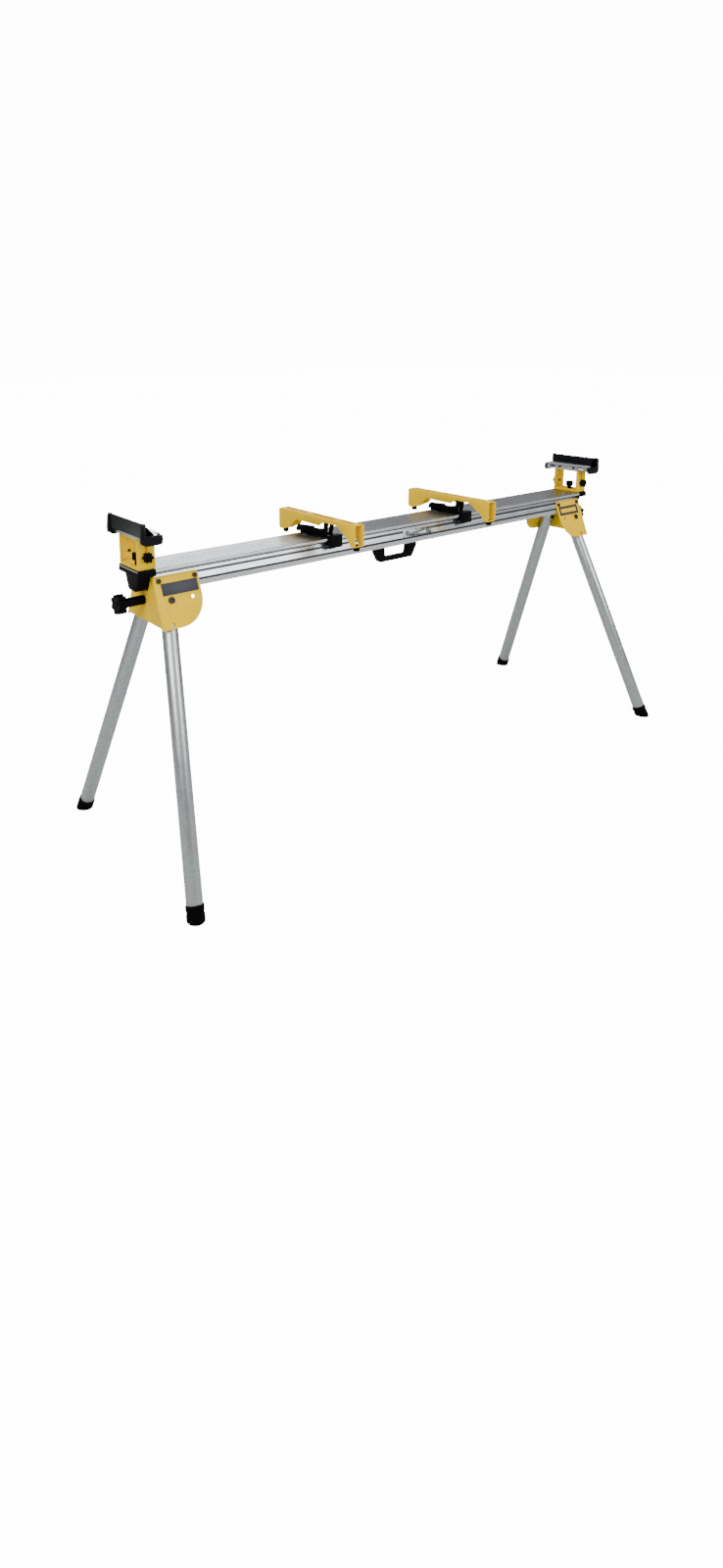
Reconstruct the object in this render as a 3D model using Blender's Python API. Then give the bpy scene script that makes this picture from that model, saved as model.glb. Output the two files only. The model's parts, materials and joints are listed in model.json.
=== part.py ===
"""Folding stand for a mitre saw: a beam on four folding legs, with sliding supports and saw brackets.

The beam runs along X and its top is level. Ends are left (-X) and right (+X), sides are front (-Y)
and rear (+Y). Most pieces are shaped once for the right rear quarter and flipped to the others.
"""
import math

import bmesh
import bpy
from mathutils import Matrix, Vector
from mathutils.geometry import tessellate_polygon

GAP = 0.0003
SHEET = 0.003

# Beam: a hollow extrusion with a lip along each top edge and sloping sides
BEAM_HALF_LENGTH = 0.873
BEAM_TOP = 0.800
BEAM_DEPTH = 0.0655
BEAM_WALL = 0.003
LIP_HALF = 0.0604
LIP_DEPTH = 0.011
LIP_NOSE = 0.0034
SIDE_TOP_HALF = 0.0435
SIDE_TOP_DROP = 0.017
SIDE_BOTTOM_DROP = 0.048
TOP_GROOVES = (0.0, 0.019, 0.039)
GROOVE_HALF = 0.0013
GROOVE_DEPTH = 0.0012
SIDE_GROOVE_DROP = 0.0275

# Leg brackets: sloping plates joined by an end web
PLATE_TILT = math.radians(21.35)
BOLT_DROP = 0.0344
PLATE_OUT = BEAM_HALF_LENGTH + 0.007
PLATE_IN = PLATE_OUT - 0.131
PLATE_RISE = 0.013
PLATE_DROP = 0.1265
PLATE_ROUND = 0.075
PLATE_CORNER = 0.010
BOLT_IN = PLATE_IN + 0.0111
BOLT_OUT = PLATE_OUT - 0.0148
BOLT_RADIUS = 0.003
BOLT_HEAD_RADIUS = 0.0068
BOLT_HEAD_HEIGHT = 0.003
BOLT_CLEARANCE = 0.0004
WEB_INSET = 0.0006
WEB_BOTTOM_RISE = 0.004
WEB_TOP_BELOW = 0.024
NOTCH_CLEARANCE = 0.002
LABEL_IN = PLATE_IN + 0.007
LABEL_OUT = PLATE_OUT - 0.019
LABEL_HIGH = 0.008
LABEL_LOW = 0.040
LABEL_THICK = 0.0008

# Legs
LEG_PIVOT_OUT = PLATE_OUT - 0.0401
LEG_PIVOT_DROP = 0.0532
LEG_LEAN = math.radians(7.7)
LEG_RADIUS = 0.021
LEG_WALL = 0.002
LEG_STUB = 0.014
LEG_SIDE_GAP = 0.0005
PIVOT_RADIUS = 0.005
PIVOT_HEAD_RADIUS = 0.0088
PIVOT_HEAD_HEIGHT = 0.0038
PIVOT_NUT_RADIUS = 0.008
PIVOT_NUT_HEIGHT = 0.006
PIVOT_CLEARANCE = 0.0004
FOOT_WALL = 0.0025
FOOT_HEIGHT = 0.034
FOOT_SOLE = 0.014
FOOT_SPARE = 0.020
LOCK_REACH = 0.063
LOCK_RADIUS = 0.0045
LOCK_LENGTH = 0.013
LOCK_CLEARANCE = 0.0004

# Sliding extensions
ARM_WALL = 0.0025
ARM_LENGTH = BEAM_HALF_LENGTH - 0.013
CAP_LENGTH = 0.047
CAP_HALF = LIP_HALF
CAP_FLANGE = 0.017
CAP_NECK_HALF = 0.040
CAP_FOOT_HALF = 0.022
CAP_DEPTH = 0.062
CAP_HOPPER_LENGTH = 0.038
KNOB_DROP = 0.091
KNOB_RADIUS = 0.026
KNOB_THICK = 0.023
KNOB_BOSS_RADIUS = 0.0125
KNOB_BOSS_LENGTH = 0.056
KNOB_ROD_RADIUS = 0.005
KNOB_ROD_LENGTH = 0.014

# End supports
SUPPORT_OUT = BEAM_HALF_LENGTH + 0.0212
SUPPORT_HALF_X = 0.0242
SUPPORT_HALF_Y = 0.0514
SUPPORT_FLANGE = 0.007
SUPPORT_LIP = 0.009
STUD_RADIUS = 0.004
STUD_CLEARANCE = 0.0005
SLIDE_CLEARANCE = 0.0005
RISER_LIFT = 0.038
RISER_KNOB_RISE = 0.033
RISER_KNOB_RADIUS = 0.0135
RISER_KNOB_THICK = 0.013
RISER_STUD_RADIUS = 0.0034
TABLE_HALF_X = 0.0225
TABLE_HALF_Y = 0.088
TABLE_HEIGHT = 0.0205
TABLE_TOP_RISE = 0.100
FENCE_THICK = 0.0065
FENCE_RISE = 0.027
FENCE_CAP = 0.011
SWIVEL_KNOB_RADIUS = 0.013
SWIVEL_KNOB_THICK = 0.018
SWIVEL_STEM = 0.013
SWIVEL_STUD_LENGTH = 0.015

# Saw brackets
BRACKET_PLACES = {"left": -0.3027, "right": 0.2496}
BRACKET_HALF_WIDTH = 0.017
BRACKET_HALF_LENGTH = 0.1804
BRACKET_TOP_RISE = 0.0558
BRACKET_REAR_RISE = 0.032
BRACKET_FRONT_RISE = 0.0435
BRACKET_SHEET = 0.0025
BRACKET_END_DROP = 0.008
BRACKET_END_LENGTH = 0.034
SLOT_SPANS = ((-0.155, -0.098), (-0.075, 0.035), (0.060, 0.160))
SLOT_HALF = 0.006
SADDLE_THICK = 0.006
SADDLE_END = -0.044
LEVER_HUB = (-0.008, -0.020)
LEVER_TIP = (-0.034, 0.056)
LEVER_HUB_RADIUS = 0.012
LEVER_THICK = 0.013
JAW_DROP = 0.030
JAW_IN = -0.016
JAW_OUT = 0.032
HOOK_THICK = 0.007
HOOK_TOE = 0.005
BUMPER_RADIUS = 0.009
BUMPER_HEIGHT = 0.012

# Handle and tool clip
HANDLE_HALF = 0.088
HANDLE_GRIP_HALF = 0.068
HANDLE_DROP = 0.0585
HANDLE_BAR = 0.014
HANDLE_THICK = 0.022
CLIP_SPAN = (-0.010, 0.108)
CLIP_HALF_HEIGHT = 0.011

BEAM_BOTTOM = BEAM_TOP - BEAM_DEPTH
BOLT_HEIGHT = BEAM_TOP - BOLT_DROP
LIP_UNDER = BEAM_TOP - LIP_DEPTH
CAP_IN = BEAM_HALF_LENGTH + 0.001
KNOB_HEIGHT = BEAM_TOP - KNOB_DROP
ENDS = {"left": -1, "right": 1}
SIDES = {"front": -1, "rear": 1}


def side_half(height):
    """Half width of the beam's sloping side at a height."""
    return SIDE_TOP_HALF + (BEAM_TOP - SIDE_TOP_DROP - height) * math.tan(PLATE_TILT)


def frame_of(origin, x_dir, y_dir):
    """A placing matrix from an origin and two directions at right angles."""
    x_dir, y_dir = Vector(x_dir), Vector(y_dir)
    z_dir = x_dir.cross(y_dir)
    matrix = Matrix((x_dir, y_dir, z_dir)).transposed().to_4x4()
    matrix.translation = Vector(origin)
    return matrix


DOWN_PLATE = Vector((0, math.sin(PLATE_TILT), -math.cos(PLATE_TILT)))
PLATE_FACE_HALF = side_half(BOLT_HEIGHT) + (GAP + SHEET) / math.cos(PLATE_TILT)
PLATE = frame_of((0, PLATE_FACE_HALF, BOLT_HEIGHT), (1, 0, 0), DOWN_PLATE)
SIDE_FACE = frame_of((0, side_half(BOLT_HEIGHT), BOLT_HEIGHT), (1, 0, 0), DOWN_PLATE)
PLATE_NORMAL = Vector((0, math.cos(PLATE_TILT), math.sin(PLATE_TILT)))
LEG_DEPTH = SHEET + LEG_SIDE_GAP + LEG_RADIUS
LEG_PIVOT = PLATE @ Vector((LEG_PIVOT_OUT, LEG_PIVOT_DROP, -LEG_DEPTH))
LEG_DIR = Vector((math.sin(LEG_LEAN), 0, 0)) + DOWN_PLATE * math.cos(LEG_LEAN)
LEG = frame_of(LEG_PIVOT, PLATE_NORMAL, LEG_DIR.cross(PLATE_NORMAL))
LEG_REACH = LEG_PIVOT.z / -LEG_DIR.z
LOCK_PLACE = (LEG_PIVOT_OUT + LOCK_REACH * math.sin(LEG_LEAN),
              LEG_PIVOT_DROP + LOCK_REACH * math.cos(LEG_LEAN))
ALONG_X = frame_of((0, 0, 0), (0, 1, 0), (0, 0, 1))
ALONG_Y = frame_of((0, 0, 0), (1, 0, 0), (0, 0, 1))
ALONG_Z = Matrix.Identity(4)


def material(name, colour, roughness, metallic=0.0):
    finish = bpy.data.materials.new(name)
    finish.use_nodes = True
    shader = finish.node_tree.nodes["Principled BSDF"]
    shader.inputs["Base Color"].default_value = (*colour, 1)
    shader.inputs["Roughness"].default_value = roughness
    shader.inputs["Metallic"].default_value = metallic
    return finish


YELLOW = material("yellow_powder_coat", (0.72, 0.46, 0.035), 0.42)
EXTRUSION = material("anodised_extrusion", (0.62, 0.63, 0.65), 0.35, 1.0)
TUBE = material("aluminium_tube", (0.55, 0.56, 0.57), 0.38, 1.0)
BLACK = material("black_plastic", (0.012, 0.012, 0.014), 0.5)
RUBBER = material("black_rubber", (0.01, 0.01, 0.01), 0.8)
ZINC = material("zinc_plated_steel", (0.6, 0.6, 0.58), 0.3, 1.0)
BLACK_BOLT = material("black_oxide_steel", (0.02, 0.02, 0.02), 0.45, 0.6)
LABEL = material("printed_label", (0.03, 0.032, 0.045), 0.35)


def arc(centre, radius, start, end, steps):
    """Points on an arc, in degrees, with both ends."""
    turns = [math.radians(start + (end - start) * i / steps) for i in range(steps + 1)]
    return [(centre[0] + radius * math.cos(a), centre[1] + radius * math.sin(a)) for a in turns]


def circle(centre, radius, steps=20):
    return arc(centre, radius, 0, 360, steps)[:-1]


def box_outline(low_x, high_x, low_y, high_y):
    return [(low_x, low_y), (high_x, low_y), (high_x, high_y), (low_x, high_y)]


def mirrored(half):
    """An outline from its +x half, given from top to bottom."""
    return half + [(-x, y) for x, y in reversed(half)]


def slab(outline, low, high, place=ALONG_Z, holes=()):
    """A flat outline with holes, drawn out from low to high along its placing's z."""
    shape = bmesh.new()
    loops = [list(outline)] + [list(hole) for hole in holes]
    triangles = tessellate_polygon([[Vector((x, y, 0)) for x, y in loop] for loop in loops])
    points = [point for loop in loops for point in loop]
    lower = [shape.verts.new(place @ Vector((x, y, low))) for x, y in points]
    upper = [shape.verts.new(place @ Vector((x, y, high))) for x, y in points]
    for triangle in triangles:
        shape.faces.new([upper[i] for i in triangle])
        shape.faces.new([lower[i] for i in reversed(triangle)])
    start = 0
    for loop in loops:
        count = len(loop)
        for i in range(count):
            here, after = start + i, start + (i + 1) % count
            shape.faces.new((lower[here], lower[after], upper[after], upper[here]))
        start += count
    return shape


def turned(profile, place=ALONG_Z, steps=24, closed=False, lobes=0, core=0.0):
    """A profile of (radius, height) turned about its placing's z, with lobes outside the core."""
    shape = bmesh.new()
    rings = []
    for radius, height in profile:
        if radius == 0:
            rings.append([shape.verts.new(place @ Vector((0, 0, height)))])
            continue
        ring = []
        for i in range(steps):
            turn = math.tau * i / steps
            reach = radius
            if lobes and radius > core:
                reach *= 1 - 0.1 * (1 - math.cos(lobes * turn))
            point = Vector((reach * math.cos(turn), reach * math.sin(turn), height))
            ring.append(shape.verts.new(place @ point))
        rings.append(ring)
    pairs = list(zip(rings, rings[1:]))
    if closed:
        pairs.append((rings[-1], rings[0]))
    for low, high in pairs:
        for i in range(steps):
            after = (i + 1) % steps
            corners = (low[i % len(low)], low[after % len(low)], high[after % len(high)], high[i % len(high)])
            shape.faces.new(list(dict.fromkeys(corners)))
    return shape


def rod(radius, low, high, place=ALONG_Z, steps=20):
    return turned([(0, low), (radius, low), (radius, high), (0, high)], place, steps)


def add_object(name, shape, flip, pivot):
    """A mesh object with its faces outwards and its origin at the pivot."""
    turn = Matrix.Diagonal((flip[0], flip[1], 1, 1))
    origin = turn @ Vector(pivot)
    bmesh.ops.transform(shape, matrix=Matrix.Translation(-origin) @ turn, verts=shape.verts)
    bmesh.ops.recalc_face_normals(shape, faces=shape.faces)
    mesh = bpy.data.meshes.new(name)
    shape.to_mesh(mesh)
    shape.free()
    thing = bpy.data.objects.new(name, mesh)
    thing.location = origin
    bpy.context.scene.collection.objects.link(thing)
    return thing


def piece(name, finish, shape, flip=(1, 1), pivot=(0, 0, 0), joins=(), cuts=()):
    """One sub-part: a shape with others joined to it, and then others cut from it."""
    thing = add_object(name, shape, flip, pivot)
    thing.data.materials.append(finish)
    thing.data.shade_smooth()
    thing.data.set_sharp_from_angle(angle=math.radians(32))
    for operation, tools in (("UNION", joins), ("DIFFERENCE", cuts)):
        for number, tool_shape in enumerate(tools):
            tool = add_object(f"{name}_{operation.lower()}_{number}", tool_shape, flip, pivot)
            tool.hide_render = True
            tool.display_type = "WIRE"
            change = thing.modifiers.new(operation.lower(), "BOOLEAN")
            change.operation = operation
            change.object = tool
    return thing


def on_plate(across, down):
    """A placing on the bracket plate's outer face, with z pointing out of it."""
    return PLATE @ Matrix.Translation((across, down, 0))


def star_knob(place, radius, thick, boss_radius, boss_length, stud_radius, stud_length, lobes=6):
    """A lobed knob whose back is at z = 0, with a boss and a stud behind it."""
    profile = [(0, -boss_length - stud_length), (stud_radius, -boss_length - stud_length),
               (stud_radius, -boss_length), (boss_radius, -boss_length), (boss_radius, 0),
               (radius * 0.88, 0), (radius, thick * 0.18), (radius, thick * 0.82),
               (radius * 0.86, thick), (0, thick)]
    return turned(profile, place, 4 * lobes, lobes=lobes, core=boss_radius)


def build_beam():
    side_top = BEAM_TOP - SIDE_TOP_DROP
    side_bottom = BEAM_TOP - SIDE_BOTTOM_DROP
    groove = BEAM_TOP - SIDE_GROOVE_DROP
    flange = side_half(side_bottom)
    half = [(GROOVE_HALF, BEAM_TOP - GROOVE_DEPTH), (GROOVE_HALF + 0.0008, BEAM_TOP)]
    for place in TOP_GROOVES[1:]:
        half += [(place - GROOVE_HALF - 0.0008, BEAM_TOP), (place - GROOVE_HALF, BEAM_TOP - GROOVE_DEPTH),
                 (place + GROOVE_HALF, BEAM_TOP - GROOVE_DEPTH), (place + GROOVE_HALF + 0.0008, BEAM_TOP)]
    half += arc((LIP_HALF - LIP_NOSE, BEAM_TOP - LIP_NOSE), LIP_NOSE, 90, 0, 3)
    half += arc((LIP_HALF - LIP_NOSE, LIP_UNDER + LIP_NOSE), LIP_NOSE, 0, -90, 3)
    half += [(side_half(side_top) + 0.003, LIP_UNDER), (side_half(side_top), side_top),
             (side_half(groove + 0.002), groove + 0.002), (side_half(groove) - 0.0012, groove + 0.001),
             (side_half(groove) - 0.0012, groove - 0.001), (side_half(groove - 0.002), groove - 0.002),
             (side_half(side_bottom + 0.004), side_bottom + 0.004),
             (side_half(side_bottom) - 0.0028, side_bottom + 0.0026),
             (side_half(side_bottom) - 0.0028, side_bottom + 0.0008), (flange, side_bottom)]
    half += arc((flange - 0.0045, BEAM_BOTTOM + 0.0045), 0.0045, 0, -90, 3)
    wall_across = BEAM_WALL / math.cos(PLATE_TILT)
    ceiling = BEAM_TOP - GROOVE_DEPTH - BEAM_WALL
    room = [(side_half(side_top) - wall_across, ceiling), (side_half(side_top) - wall_across, side_top),
            (side_half(side_bottom + 0.006) - wall_across, side_bottom + 0.006),
            (flange - BEAM_WALL - 0.0028, side_bottom + 0.003),
            (flange - BEAM_WALL - 0.0028, BEAM_BOTTOM + BEAM_WALL)]
    holes = []
    for across in (BOLT_IN, BOLT_OUT):
        for end in ENDS.values():
            for side in SIDES.values():
                hole = rod(BOLT_RADIUS + BOLT_CLEARANCE, -0.020, 0.004, on_plate(across, 0), 12)
                bmesh.ops.transform(hole, matrix=Matrix.Diagonal((end, side, 1, 1)), verts=hole.verts)
                bmesh.ops.recalc_face_normals(hole, faces=hole.faces)
                holes.append(hole)
    outline = slab(mirrored(half), -BEAM_HALF_LENGTH, BEAM_HALF_LENGTH, ALONG_X, [mirrored(room)])
    piece("beam", EXTRUSION, outline, cuts=holes)


def build_leg_bracket(name, flip):
    outline = arc((PLATE_IN + PLATE_CORNER, PLATE_CORNER - PLATE_RISE), PLATE_CORNER, 180, 270, 4)
    outline += [(PLATE_OUT, -PLATE_RISE), (PLATE_OUT, PLATE_DROP)]
    outline += arc((PLATE_IN + PLATE_ROUND, PLATE_DROP - PLATE_ROUND), PLATE_ROUND, 90, 180, 9)
    holes = [circle((BOLT_IN, 0), BOLT_RADIUS + BOLT_CLEARANCE, 12),
             circle((BOLT_OUT, 0), BOLT_RADIUS + BOLT_CLEARANCE, 12),
             circle((LEG_PIVOT_OUT, LEG_PIVOT_DROP), PIVOT_RADIUS + PIVOT_CLEARANCE, 16),
             circle(LOCK_PLACE, LOCK_RADIUS + LOCK_CLEARANCE, 16),
             circle((LEG_PIVOT_OUT - LOCK_REACH, LEG_PIVOT_DROP), LOCK_RADIUS + LOCK_CLEARANCE, 16)]
    rear = slab(outline, -SHEET, 0, PLATE, holes)
    front = slab(outline, -SHEET, 0, PLATE, holes)
    bmesh.ops.transform(front, matrix=Matrix.Diagonal((1, -1, 1, 1)), verts=front.verts)
    low = (PLATE @ Vector((0, PLATE_DROP, 0))).z + WEB_BOTTOM_RISE
    high = BEAM_TOP - WEB_TOP_BELOW
    floor = BEAM_TOP - CAP_DEPTH - NOTCH_CLEARANCE

    def plate_middle(height):
        face = PLATE_FACE_HALF + (BOLT_HEIGHT - height) * math.tan(PLATE_TILT)
        return face - SHEET / 2 / math.cos(PLATE_TILT)

    half = [(hopper_half(floor) + NOTCH_CLEARANCE, floor), (hopper_half(high) + NOTCH_CLEARANCE, high),
            (plate_middle(high), high), (plate_middle(low), low)]
    web = slab(mirrored(half), PLATE_OUT - WEB_INSET - SHEET, PLATE_OUT - WEB_INSET, ALONG_X,
               [circle((0, KNOB_HEIGHT), KNOB_ROD_RADIUS + 0.001, 16)])
    piece(name, YELLOW, rear, flip, joins=[front, web])


def hopper_half(height):
    """Half width of the extension cap's tapering lower part at a height."""
    neck = BEAM_TOP - CAP_FLANGE
    share = (neck - height) / (CAP_DEPTH - CAP_FLANGE)
    return CAP_NECK_HALF + (CAP_FOOT_HALF - CAP_NECK_HALF) * share


def build_bracket_bolts(name, flip):
    inner = SHEET + GAP + BEAM_WALL + GAP
    strip = slab(box_outline(BOLT_IN - 0.007, BOLT_OUT + 0.007, -0.006, 0.006), -inner - 0.003, -inner, PLATE)
    bolts = []
    for across in (BOLT_IN, BOLT_OUT):
        profile = [(0, -inner - 0.0042), (BOLT_RADIUS, -inner - 0.0042), (BOLT_RADIUS, GAP),
                   (BOLT_HEAD_RADIUS, GAP), (BOLT_HEAD_RADIUS, GAP + BOLT_HEAD_HEIGHT * 0.6),
                   (BOLT_HEAD_RADIUS * 0.6, GAP + BOLT_HEAD_HEIGHT), (0, GAP + BOLT_HEAD_HEIGHT)]
        bolts.append(turned(profile, on_plate(across, 0), 12))
    piece(name, BLACK_BOLT, strip, flip, joins=bolts)


def build_leg(end_name, side_name):
    flip = (ENDS[end_name], SIDES[side_name])
    tag = f"{end_name}_{side_name}"
    tube_end = LEG_REACH - FOOT_SOLE
    tube = turned([(LEG_RADIUS, -LEG_STUB), (LEG_RADIUS, tube_end), (LEG_RADIUS - LEG_WALL, tube_end),
                   (LEG_RADIUS - LEG_WALL, -LEG_STUB)], LEG, closed=True)
    pivot_hole = rod(PIVOT_RADIUS + PIVOT_CLEARANCE, -LEG_DEPTH - 0.030, 0.002,
                     on_plate(LEG_PIVOT_OUT, LEG_PIVOT_DROP), 16)
    lock_hole = rod(LOCK_RADIUS + LOCK_CLEARANCE, -LEG_DEPTH, 0.002, on_plate(*LOCK_PLACE), 16)
    piece(f"leg_tube_{tag}", TUBE, tube, flip, LEG_PIVOT, cuts=[pivot_hole, lock_hole])

    bore = LEG_RADIUS + GAP
    outer = LEG_RADIUS + FOOT_WALL
    foot = turned([(bore, LEG_REACH - FOOT_HEIGHT), (outer - 0.001, LEG_REACH - FOOT_HEIGHT),
                   (outer, LEG_REACH - FOOT_HEIGHT + 0.002), (outer, LEG_REACH + FOOT_SPARE),
                   (0, LEG_REACH + FOOT_SPARE)], LEG)
    hollow = turned([(bore, LEG_REACH - FOOT_HEIGHT), (bore, tube_end + GAP), (0, tube_end + GAP)], LEG)
    scrap = bpy.data.meshes.new("foot_bore")
    hollow.to_mesh(scrap)
    hollow.free()
    foot.from_mesh(scrap)
    bpy.data.meshes.remove(scrap)
    bmesh.ops.remove_doubles(foot, verts=foot.verts, dist=0.00001)
    faces = foot.verts[:] + foot.edges[:] + foot.faces[:]
    cut = bmesh.ops.bisect_plane(foot, geom=faces, plane_co=(0, 0, 0), plane_no=(0, 0, 1), clear_inner=True)
    rim = [item for item in cut["geom_cut"] if isinstance(item, bmesh.types.BMEdge)]
    bmesh.ops.contextual_create(foot, geom=rim)
    piece(f"leg_foot_{tag}", RUBBER, foot, flip, LEG_PIVOT)

    nut_top = -LEG_DEPTH - LEG_RADIUS - GAP
    profile = [(0, nut_top - PIVOT_NUT_HEIGHT), (PIVOT_NUT_RADIUS, nut_top - PIVOT_NUT_HEIGHT),
               (PIVOT_NUT_RADIUS, nut_top), (PIVOT_RADIUS, nut_top), (PIVOT_RADIUS, GAP),
               (PIVOT_HEAD_RADIUS, GAP), (PIVOT_HEAD_RADIUS, PIVOT_HEAD_HEIGHT * 0.7),
               (PIVOT_HEAD_RADIUS * 0.75, PIVOT_HEAD_HEIGHT), (0, PIVOT_HEAD_HEIGHT)]
    bolt = turned(profile, on_plate(LEG_PIVOT_OUT, LEG_PIVOT_DROP), 18)
    piece(f"leg_pivot_bolt_{tag}", BLACK_BOLT, bolt, flip)

    top = -SHEET - GAP
    button = turned([(0, top - LOCK_LENGTH), (LOCK_RADIUS, top - LOCK_LENGTH), (LOCK_RADIUS, top - 0.001),
                     (LOCK_RADIUS - 0.001, top), (0, top)], on_plate(*LOCK_PLACE), 16)
    piece(f"leg_lock_button_{tag}", ZINC, button, flip, on_plate(*LOCK_PLACE).translation)


def build_extension(end_name):
    flip = (ENDS[end_name], 1)
    low = BEAM_BOTTOM + BEAM_WALL + SLIDE_CLEARANCE
    high = BEAM_TOP - GROOVE_DEPTH - BEAM_WALL - SLIDE_CLEARANCE
    arm_end = CAP_IN - GAP
    shoulder = BEAM_TOP - CAP_FLANGE
    top_half = CAP_NECK_HALF - SLIDE_CLEARANCE
    outline = mirrored([(top_half, high), (top_half, shoulder), (hopper_half(low), low)])
    inside = mirrored([(top_half - ARM_WALL, high - ARM_WALL), (top_half - ARM_WALL, shoulder),
                       (hopper_half(low) - ARM_WALL, low + ARM_WALL)])
    arm = slab(outline, arm_end - ARM_LENGTH, arm_end, ALONG_X, [inside])
    piece(f"extension_arm_{end_name}", TUBE, arm, flip)

    cap_out = CAP_IN + CAP_LENGTH
    flange = slab([(CAP_IN, -CAP_HALF), (cap_out - 0.006, -CAP_HALF), (cap_out, -CAP_HALF + 0.006),
                   (cap_out, CAP_HALF - 0.006), (cap_out - 0.006, CAP_HALF), (CAP_IN, CAP_HALF)],
                  BEAM_TOP - CAP_FLANGE, BEAM_TOP)
    neck = BEAM_TOP - CAP_FLANGE + 0.002
    foot = BEAM_TOP - CAP_DEPTH
    half = [(hopper_half(neck), neck), (hopper_half(foot + 0.004), foot + 0.004),
            (CAP_FOOT_HALF - 0.004, foot)]
    hopper = slab(mirrored(half), CAP_IN + 0.0005, CAP_IN + CAP_HOPPER_LENGTH, ALONG_X)
    socket = rod(STUD_RADIUS + STUD_CLEARANCE, BEAM_TOP - 0.020, BEAM_TOP + 0.004,
                 Matrix.Translation((SUPPORT_OUT, 0, 0)), 16)
    piece(f"extension_cap_{end_name}", BLACK, flange, flip, joins=[hopper], cuts=[socket])

    back = PLATE_OUT + 0.002 + KNOB_BOSS_LENGTH
    place = frame_of((back, 0, KNOB_HEIGHT), (0, 1, 0), (0, 0, 1))
    knob = star_knob(place, KNOB_RADIUS, KNOB_THICK, KNOB_BOSS_RADIUS, KNOB_BOSS_LENGTH, KNOB_ROD_RADIUS,
                     KNOB_ROD_LENGTH)
    piece(f"extension_knob_{end_name}", BLACK, knob, flip, (PLATE_OUT, 0, KNOB_HEIGHT))


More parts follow.
